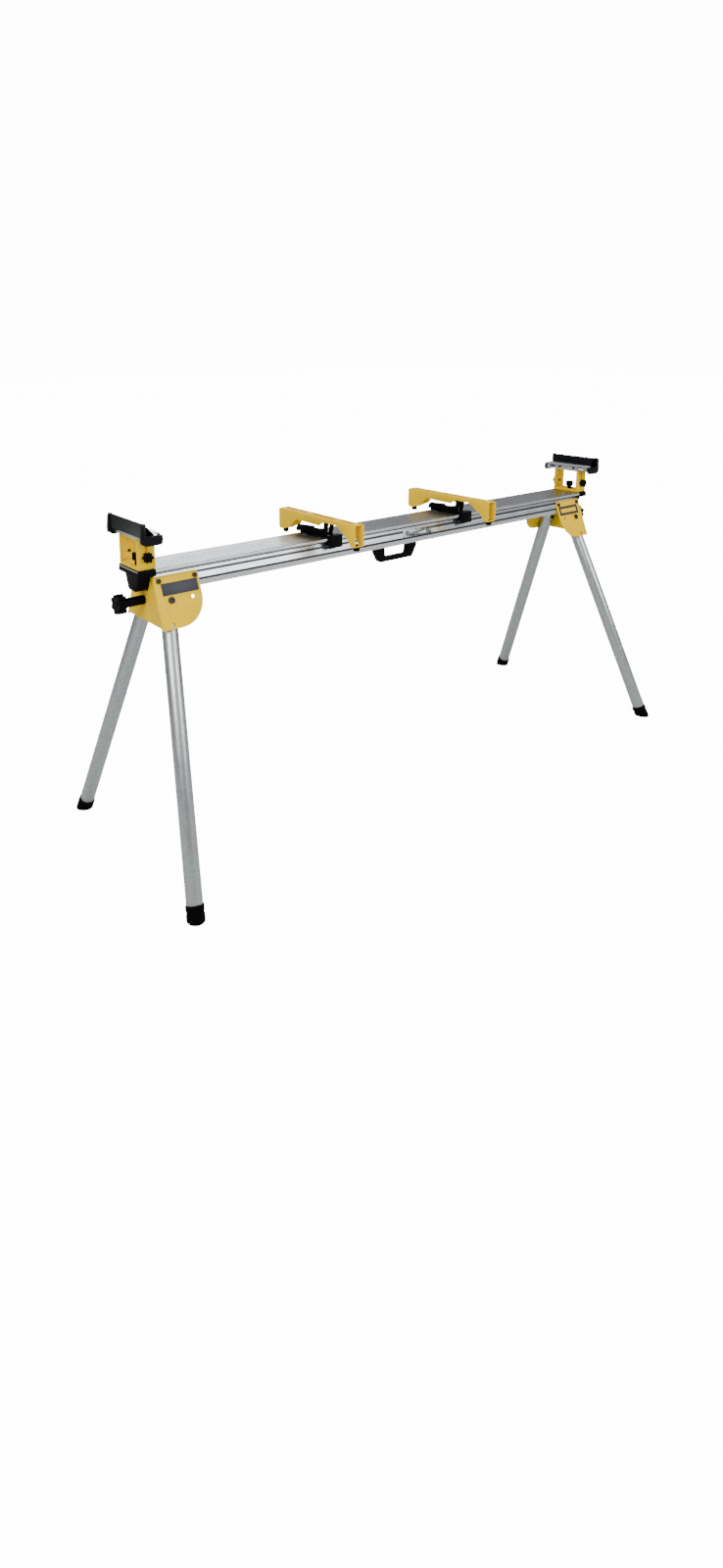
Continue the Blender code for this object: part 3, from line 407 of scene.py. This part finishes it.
def cylinder(radius, low, high, sides=48, caps="NGON"):
    """A cylinder along Z from low to high."""
    bpy.ops.mesh.primitive_cylinder_add(vertices=sides, radius=radius, depth=high - low,
                                        end_fill_type=caps, location=(0, 0, (low + high) / 2))
    piece = bpy.context.object
    bpy.ops.object.transform_apply(location=True, rotation=True, scale=True)
    return piece


def block(low, high):
    """A box between two corners."""
    low, high = Vector(low), Vector(high)
    bpy.ops.mesh.primitive_cube_add(size=1, location=(low + high) / 2)
    piece = bpy.context.object
    piece.scale = high - low
    bpy.ops.object.transform_apply(location=True, rotation=True, scale=True)
    return piece


def carve(piece, tool):
    """Cuts a tool from a piece, and removes the tool."""
    change = piece.modifiers.new("carve", "BOOLEAN")
    change.operation = "DIFFERENCE"
    change.object = tool
    apply_changes(piece)
    bpy.data.objects.remove(tool, do_unlink=True)
    return piece


def joined(first, *others):
    """Several shapes as one object."""
    only(first)
    for other in others:
        other.select_set(True)
    bpy.ops.object.join()
    return first


def placed(model, name, matrix):
    """A copy of a model with its own mesh, moved by a matrix."""
    piece = bpy.data.objects.new(name, model.data.copy())
    bpy.context.scene.collection.objects.link(piece)
    piece.data.transform(matrix)
    if matrix.determinant() < 0:
        piece.data.flip_normals()
    return piece


def facing(origin, z_dir):
    """A placing whose Z points along a direction."""
    turned = Vector(z_dir).to_track_quat("Z", "Y").to_matrix().to_4x4()
    turned.translation = Vector(origin)
    return turned


def level_with(across):
    """A placing that keeps X along the beam and lays Y along a direction."""
    along = Vector((1, 0, 0))
    return Matrix((along, across, along.cross(across))).transposed().to_4x4()


def hand_over(piece, finish, node):
    """Gives a piece its finish, its body and its slot, and lets it stand for a node."""
    piece.data.materials.clear()
    piece.data.materials.append(finish)
    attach(piece, BODY_OF[node])
    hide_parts(node)
    made.append(piece.name)
    return piece


def open_copy(node):
    """A copy of a plain node, open for editing, with its doubled corners merged."""
    piece = bpy.data.objects.new(f"{node}_made", frame["nodes"][node].data.copy())
    bpy.context.scene.collection.objects.link(piece)
    only(piece)
    bpy.ops.object.mode_set(mode="EDIT")
    bpy.ops.mesh.select_all(action="SELECT")
    bpy.ops.mesh.remove_doubles(threshold=MERGE_GAP)
    return piece


def softened(node, width, segments=3):
    """A copy of a plain node with its facets merged and its edges rounded."""
    piece = open_copy(node)
    bpy.ops.mesh.dissolve_limited(angle_limit=math.radians(1.0))
    bpy.ops.mesh.normals_make_consistent(inside=False)
    bpy.ops.object.mode_set(mode="OBJECT")
    return round_edges(piece, width, segments)


# %% [markdown]
# ## Legs
# Each leg is a round aluminium tube. A primitive cylinder with open ends takes its wall from
# Solidify, which is truer to a tube than a solid bar, since its end shows when the leg is folded.

# %% Leg tubes
TUBE_RADIUS = 0.021
TUBE_WALL = 0.002
TUBE_STUB = 0.014
FOOT_OVERLAP = 0.014


def leg_line(tag):
    """The leg's pivot, and the middle of its sole."""
    return Vector(JOINT[f"leg_fold_{tag}"]["pos_m"]), Vector(MOUNT[f"sole_{tag}"]["pos_m"])


for tag in CORNERS:
    pivot, sole = leg_line(tag)
    reach = (sole - pivot).length
    tube = cylinder(TUBE_RADIUS, -TUBE_STUB, reach - FOOT_OVERLAP, 72, "NOTHING")
    wall = tube.modifiers.new("wall", "SOLIDIFY")
    wall.thickness = TUBE_WALL
    wall.offset = -1
    round_edges(tube, 0.0004, 2, 60)
    leg = placed(tube, f"leg_tube_{tag}_made", facing(pivot, sole - pivot))
    bpy.data.objects.remove(tube, do_unlink=True)
    hand_over(leg, TUBE, f"leg_tube_{tag}")
print("leg length:", round(reach, 4))

# %% [markdown]
# The feet are moulded rubber cups, cut so that the sole lies flat although the leg leans. The cup is
# modelled along its own axis with two grip grooves, placed on the leg, and then bisected at the floor.

# %% Rubber feet
FOOT_RADIUS = 0.0235
FOOT_HEIGHT = 0.034
FOOT_SPARE = 0.020
GROOVES = (0.012, 0.019)
GROOVE_WIDTH = 0.0022
GROOVE_DEPTH = 0.0012

foot_model = cylinder(FOOT_RADIUS, 0, FOOT_HEIGHT + FOOT_SPARE, 72)
only(foot_model)
bpy.ops.object.mode_set(mode="EDIT")
for height in [h + shift for h in GROOVES for shift in (0, GROOVE_WIDTH)]:
    bpy.ops.mesh.select_all(action="SELECT")
    bpy.ops.mesh.bisect(plane_co=(0, 0, height), plane_no=(0, 0, 1))
bpy.ops.object.mode_set(mode="OBJECT")
for face in foot_model.data.polygons:
    level = face.center.z
    face.select = abs(face.normal.z) < 0.5 and any(h < level < h + GROOVE_WIDTH for h in GROOVES)
bpy.ops.object.mode_set(mode="EDIT")
bpy.ops.mesh.select_mode(type="FACE")
bpy.ops.mesh.inset(thickness=0.0004, depth=-GROOVE_DEPTH)
bpy.ops.object.mode_set(mode="OBJECT")
round_edges(foot_model, 0.0005, 2, 40)

for tag in CORNERS:
    pivot, sole = leg_line(tag)
    down = (sole - pivot).normalized()
    foot = placed(foot_model, f"leg_foot_{tag}_made", facing(sole - down * FOOT_HEIGHT, down))
    only(foot)
    bpy.ops.object.mode_set(mode="EDIT")
    bpy.ops.mesh.select_all(action="SELECT")
    bpy.ops.mesh.bisect(plane_co=(0, 0, 0), plane_no=(0, 0, 1), clear_inner=True, use_fill=True)
    bpy.ops.object.mode_set(mode="OBJECT")
    hand_over(foot, RUBBER, f"leg_foot_{tag}")
bpy.data.objects.remove(foot_model, do_unlink=True)
print("foot faces:", len(foot.data.polygons))

# %% [markdown]
# ## Bolts
# Two kinds of black bolt hold the leg brackets. A socket head is a short cylinder with a hexagonal
# recess, cut by a boolean with a six-sided cylinder, which is quicker than insetting a round face
# into a hexagon. The shank and the nut are there too, because they show when a leg is folded.

# %% Bolts
PLATE_OUTSIDE = 0.0245
BOLT_LINE_DROP = 0.0532
STRIP_END = 0.007
STRIP_HALF_WIDTH = 0.006
STRIP_NEAR = 0.0066
STRIP_FAR = 0.0096
NUT_RADIUS = 0.008
NUT_NEAR = 0.0459
NUT_FAR = 0.0518


def socket_bolt(head_radius, head_height, key, shank_radius, shank_length):
    """A bolt along Z whose head starts at z = 0 and whose shank runs down."""
    head = cylinder(head_radius, 0.0003, head_height, 48)
    carve(head, cylinder(key, head_height * 0.45, head_height * 2, 6))
    round_edges(head, head_height * 0.14, 3)
    return joined(head, cylinder(shank_radius, -shank_length, 0.001, 32))


def plate_frame(tag, end, side):
    """The bracket plate's normal, its downward direction and the leg's pivot."""
    joint = JOINT[f"leg_fold_{tag}"]
    normal = Vector(joint["axis"]) * end * side
    down = Vector((0, side * normal.z, -abs(normal.y)))
    return normal, down, Vector(joint["pos_m"])


pivot_model = socket_bolt(head_radius=0.0088, head_height=0.0038, key=0.0038,
                          shank_radius=0.005, shank_length=NUT_FAR)
joined(pivot_model, round_edges(cylinder(NUT_RADIUS, -NUT_FAR, -NUT_NEAR, 6), 0.0006, 2))
plate_bolt = socket_bolt(head_radius=0.0068, head_height=0.0032, key=0.003,
                         shank_radius=0.003, shank_length=0.0105)
for end_name, end in ENDS.items():
    for side_name, side in SIDES.items():
        tag = f"{end_name}_{side_name}"
        normal, down, pivot = plate_frame(tag, end, side)
        face = pivot + normal * PLATE_OUTSIDE
        bolt = placed(pivot_model, f"leg_pivot_bolt_{tag}_made", facing(face, normal))
        hand_over(bolt, BLACK_OXIDE, f"leg_pivot_bolt_{tag}")
        low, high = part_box(f"bracket_bolts_{tag}")
        line = face - down * BOLT_LINE_DROP
        pair = []
        for number, across in enumerate((low.x + STRIP_END, high.x - STRIP_END)):
            spot = facing((across, line.y, line.z), normal)
            pair.append(placed(plate_bolt, f"bracket_bolts_{tag}_made_{number}", spot))
        strip = block((low.x, -STRIP_HALF_WIDTH, -STRIP_FAR), (high.x, STRIP_HALF_WIDTH, -STRIP_NEAR))
        round_edges(strip, 0.0005, 2)
        strip_place = level_with(down)
        if strip_place.col[2].xyz.dot(normal) < 0:
            strip_place = strip_place @ Matrix.Rotation(math.pi, 4, "X")
        strip_place.translation = (0, line.y, line.z)
        strip.data.transform(strip_place)
        joined(pair[0], pair[1], strip)
        hand_over(pair[0], BLACK_OXIDE, f"bracket_bolts_{tag}")
        hand_over(softened(f"leg_lock_button_{tag}", 0.0006, 2), ZINC, f"leg_lock_button_{tag}")
for model in (pivot_model, plate_bolt):
    bpy.data.objects.remove(model, do_unlink=True)
print("plate leans by", round(math.degrees(math.asin(normal.z)), 1), "degrees")

# %% [markdown]
# ## Knobs
# The knobs are star grips: a disc with finger scallops round its rim. Cutting a ring of cylinders
# from a disc and rounding what is left gives the same soft lobes as the mould does.

# %% Star knobs
BITE_SHARE = 0.62
BITE_RING = 1.06
EXTENSION_KNOB_THICK = 0.023
RISER_KNOB_THICK = 0.013
SWIVEL_KNOB_THICK = 0.018


def star_knob(radius, thick, lobes, boss_radius, boss_length, stud_radius, stud_length):
    """A scalloped knob from z = 0 up, with its boss and stud below."""
    disc = cylinder(radius, 0, thick, 96)
    bite = radius * math.sin(math.pi / lobes) * BITE_SHARE
    for number in range(lobes):
        angle = math.tau * (number + 0.5) / lobes
        spot = (math.cos(angle) * radius * BITE_RING, math.sin(angle) * radius * BITE_RING, 0)
        tool = cylinder(bite, -thick, thick * 2, 32)
        tool.data.transform(Matrix.Translation(spot))
        carve(disc, tool)
    only(disc)
    for face in disc.data.polygons:
        face.select = face.normal.z > 0.9
    bpy.ops.object.mode_set(mode="EDIT")
    bpy.ops.mesh.select_mode(type="FACE")
    bpy.ops.mesh.inset(thickness=radius * 0.12, depth=-thick * 0.06)
    bpy.ops.object.mode_set(mode="OBJECT")
    round_edges(disc, radius * 0.05, 3, 25)
    boss = round_edges(cylinder(boss_radius, -boss_length, thick * 0.5, 48), boss_radius * 0.08, 2)
    stud = cylinder(stud_radius, -boss_length - stud_length, 0, 32)
    hub = round_edges(cylinder(radius * 0.34, thick * 0.5, thick * 0.99, 48), radius * 0.05, 3)
    return joined(disc, boss, stud, hub)


extension_model = star_knob(0.026, EXTENSION_KNOB_THICK, 7, boss_radius=0.0125, boss_length=0.056,
                            stud_radius=0.005, stud_length=0.014)
riser_model = star_knob(0.0135, RISER_KNOB_THICK, 6, boss_radius=0.0065, boss_length=0.0012,
                        stud_radius=0.0034, stud_length=0.011)
swivel_model = star_knob(0.013, SWIVEL_KNOB_THICK, 6, boss_radius=0.007, boss_length=0.013,
                         stud_radius=0.004, stud_length=0.015)
for end_name, end in ENDS.items():
    low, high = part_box(f"extension_knob_{end_name}")
    face = high.x if end > 0 else low.x
    height = JOINT[f"extension_lock_turn_{end_name}"]["pos_m"][2]
    spot = facing((face - end * EXTENSION_KNOB_THICK, 0, height), (end, 0, 0))
    knob = placed(extension_model, f"extension_knob_{end_name}_made", spot)
    hand_over(knob, NYLON, f"extension_knob_{end_name}")
    low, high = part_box(f"swivel_knob_{end_name}")
    stud_x = JOINT[f"support_swivel_{end_name}"]["pos_m"][0]
    spot = Matrix.Translation((stud_x, 0, high.z - SWIVEL_KNOB_THICK))
    hand_over(placed(swivel_model, f"swivel_knob_{end_name}_made", spot), NYLON, f"swivel_knob_{end_name}")
    for side_name, side in SIDES.items():
        node = f"riser_knob_{end_name}_{side_name}"
        low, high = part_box(node)
        axis = Vector(JOINT[f"riser_lock_turn_{end_name}_{side_name}"]["pos_m"])
        face = high.y if side > 0 else low.y
        spot = facing((axis.x, face - side * RISER_KNOB_THICK, axis.z), (0, side, 0))
        hand_over(placed(riser_model, f"{node}_made", spot), NYLON, node)
for model in (extension_model, riser_model, swivel_model):
    bpy.data.objects.remove(model, do_unlink=True)

# %% [markdown]
# ## Folded sheet and mouldings
# The yellow parts are folded sheet, with edges broken by the coating to a radius near half a
# millimetre. The mouldings have rounder edges. Their plain shapes are right already, so each one is
# copied, its facets are merged into whole faces, and a bevel rounds it.

# %% Sheet metal and mouldings
SHEET_EDGE = 0.0006
MOULD_EDGE = 0.0014
FENCE_EDGE = 0.0012
HANDLE_EDGE = 0.0045
CLIP_EDGE = 0.0003

for end_name in ENDS:
    for kind in ("leg_bracket", "support_base", "support_riser", "saw_bracket"):
        node = f"{kind}_{end_name}"
        hand_over(softened(node, SHEET_EDGE, 2), POWDER_COAT, node)
    for kind in ("extension_cap", "bracket_saddle", "clamp_jaw"):
        node = f"{kind}_{end_name}"
        hand_over(softened(node, MOULD_EDGE), NYLON, node)
    node = f"support_fence_{end_name}"
    hand_over(softened(node, FENCE_EDGE), FENCE_BLACK, node)
hand_over(softened("carry_handle", HANDLE_EDGE, 4), NYLON, "carry_handle")
hand_over(softened("tool_clip", CLIP_EDGE, 2), ZINC, "tool_clip")
print("softened pieces so far:", len(made))

# %% [markdown]
# The clamp lever ends in a raised grip, wide enough for a thumb. It is a rounded block laid along the
# lever, from the hub to its tip.

# %% Lever grips
LEVER_RUN = Vector((-0.026, 0.076, 0))
GRIP_HALF_WIDTH = 0.0065
GRIP_RISE = 0.006
GRIP_SUNK = 0.002
GRIP_START = 0.33
GRIP_END = 1.03
GRIP_EDGE = 0.0025

reach = LEVER_RUN.length
for end_name in ENDS:
    node = f"clamp_lever_{end_name}"
    hub = Vector(JOINT[f"lever_swing_{end_name}"]["pos_m"])
    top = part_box(node)[1].z
    lever = softened(node, MOULD_EDGE)
    grip = block((reach * GRIP_START, -GRIP_HALF_WIDTH, -GRIP_SUNK),
                 (reach * GRIP_END, GRIP_HALF_WIDTH, GRIP_RISE))
    round_edges(grip, GRIP_EDGE)
    heading = Matrix.Rotation(math.atan2(LEVER_RUN.y, LEVER_RUN.x), 4, "Z")
    grip.data.transform(Matrix.Translation((hub.x, hub.y, top)) @ heading)
    hand_over(joined(lever, grip), NYLON, node)
print("grip length:", round(reach * (GRIP_END - GRIP_START), 3))

# %% [markdown]
# ## End tables
# The table channel has two slots and two screws in its inner flange, where it fastens to the riser.
# The slots are cut, and the screws are the same socket bolts at a smaller size.

# %% Table channels
SLOT_LENGTH = 0.022
SLOT_HEIGHT = 0.006
SLOT_REACH = 0.008
SLOT_PLACES = (-0.062, 0.062)
SCREW_PLACES = (-0.030, 0.030)
FLANGE_MIDDLE = 0.009

screw_model = socket_bolt(head_radius=0.0042, head_height=0.003, key=0.0018,
                          shank_radius=0.0022, shank_length=0.004)
for end_name, end in ENDS.items():
    node = f"support_table_{end_name}"
    low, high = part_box(node)
    inner = low.x if end > 0 else high.x
    level = low.z + FLANGE_MIDDLE
    table = open_copy(node)
    bpy.ops.object.mode_set(mode="OBJECT")
    for place_y in SLOT_PLACES:
        centre = Vector((inner, place_y, level))
        half = Vector((SLOT_REACH, SLOT_LENGTH / 2, SLOT_HEIGHT / 2))
        carve(table, block(centre - half, centre + half))
    hand_over(round_edges(table, 0.0005, 2), SUPPORT_SILVER, node)
    for number, place_y in enumerate(SCREW_PLACES):
        spot = facing((inner, place_y, level), (-end, 0, 0))
        screw = placed(screw_model, f"table_screw_{end_name}_{number}", spot)
        screw.data.materials.clear()
        screw.data.materials.append(BLACK_OXIDE)
        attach(screw, BODY_OF[node])
        made.append(screw.name)
bpy.data.objects.remove(screw_model, do_unlink=True)
print("table length:", round((high - low).y, 3))

# %% [markdown]
# ## Bumpers
# Under each end of a saw bracket is a rubber bumper. It is a rounded puck, with a stem and a button
# that hold it in the sheet above.

# %% Rubber bumpers
PUCK_RADIUS = 0.009
PUCK_HEIGHT = 0.012
STEM_RADIUS = 0.003
BUTTON_RADIUS = 0.0055
BUTTON_LOW = 0.0041
BUTTON_HIGH = 0.0072

bumper_model = round_edges(cylinder(PUCK_RADIUS, -PUCK_HEIGHT, 0.0, 48), 0.0022, 3)
stem = round_edges(cylinder(STEM_RADIUS, -0.002, 0.0055, 24), 0.0004, 2)
button = round_edges(cylinder(BUTTON_RADIUS, BUTTON_LOW, BUTTON_HIGH, 32), 0.0012, 3)
joined(bumper_model, stem, button)
for tag in CORNERS:
    node = f"saw_bumper_{tag}"
    low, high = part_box(node)
    middle = (low + high) / 2
    spot = Matrix.Translation((middle.x, middle.y, low.z + PUCK_HEIGHT))
    hand_over(placed(bumper_model, f"{node}_made", spot), RUBBER, node)
bpy.data.objects.remove(bumper_model, do_unlink=True)
print("bumper floor:", round(low.z, 4))

# %% [markdown]
# ## Name panels and trim
# The front plates carry a name panel each. Both are left blank. The left one is a dark panel, and the
# right one a black frame round bare yellow, so the right one is an inset frame with the middle cut out.

# %% Name panels
FRAME_BAR = 0.0085
FRAME_HALF_THICK = 0.0004

hand_over(softened("name_plate_left", 0.0003, 2), PANEL_INK, "name_plate_left")
down = plate_frame("right_front", ENDS["right"], SIDES["front"])[1]
low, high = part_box("name_plate_right")
middle = (low + high) / 2
half_x = (high.x - low.x) / 2
half_y = (high.z - low.z) / 2 / abs(down.z)
gap_x = half_x - FRAME_BAR
gap_y = half_y - FRAME_BAR
border = block((-half_x, -half_y, -FRAME_HALF_THICK), (half_x, half_y, FRAME_HALF_THICK))
gap = block((-gap_x, -gap_y, -0.01), (gap_x, gap_y, 0.01))
carve(border, gap)
round_edges(border, 0.0002, 2)
panel_place = level_with(-down)
panel_place.translation = middle
border.data.transform(panel_place)
border.name = "name_plate_right_made"
hand_over(border, PANEL_INK, "name_plate_right")
print("panel:", round(half_x * 2, 3), "by", round(half_y * 2, 3))

# %% [markdown]
# The extension cap has a bright edge strip along its outer top edge. It is a thin aluminium angle, and
# at this size a rounded block is enough.

# %% Cap trim
TRIM_DEEP = 0.0015
TRIM_PROUD = 0.0008
TRIM_SHORT = 0.008
TRIM_DROPS = (0.0045, 0.001)

for end_name, end in ENDS.items():
    low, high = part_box(f"extension_cap_{end_name}")
    outer = high.x if end > 0 else low.x
    near, far = sorted((outer - end * TRIM_DEEP, outer + end * TRIM_PROUD))
    trim = block((near, low.y + TRIM_SHORT, high.z - TRIM_DROPS[0]),
                 (far, high.y - TRIM_SHORT, high.z - TRIM_DROPS[1]))
    round_edges(trim, 0.0004, 2)
    trim.name = f"cap_trim_{end_name}"
    trim.data.materials.append(SUPPORT_SILVER)
    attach(trim, BODY_OF[f"extension_cap_{end_name}"])
    made.append(trim.name)
print("trim at", round(outer, 4))

# %% [markdown]
# ## Bare nodes
# The beam and the hidden arms keep the shapes of the design, since a die-drawn section is already
# exact. They only take a finish.

# %% Finishes for what is left
for name, node in frame["nodes"].items():
    if name == "beam" or name.startswith("extension_arm"):
        node.data.materials.clear()
        node.data.materials.append(EXTRUSION if name == "beam" else TUBE)
print("pieces made:", len(made))
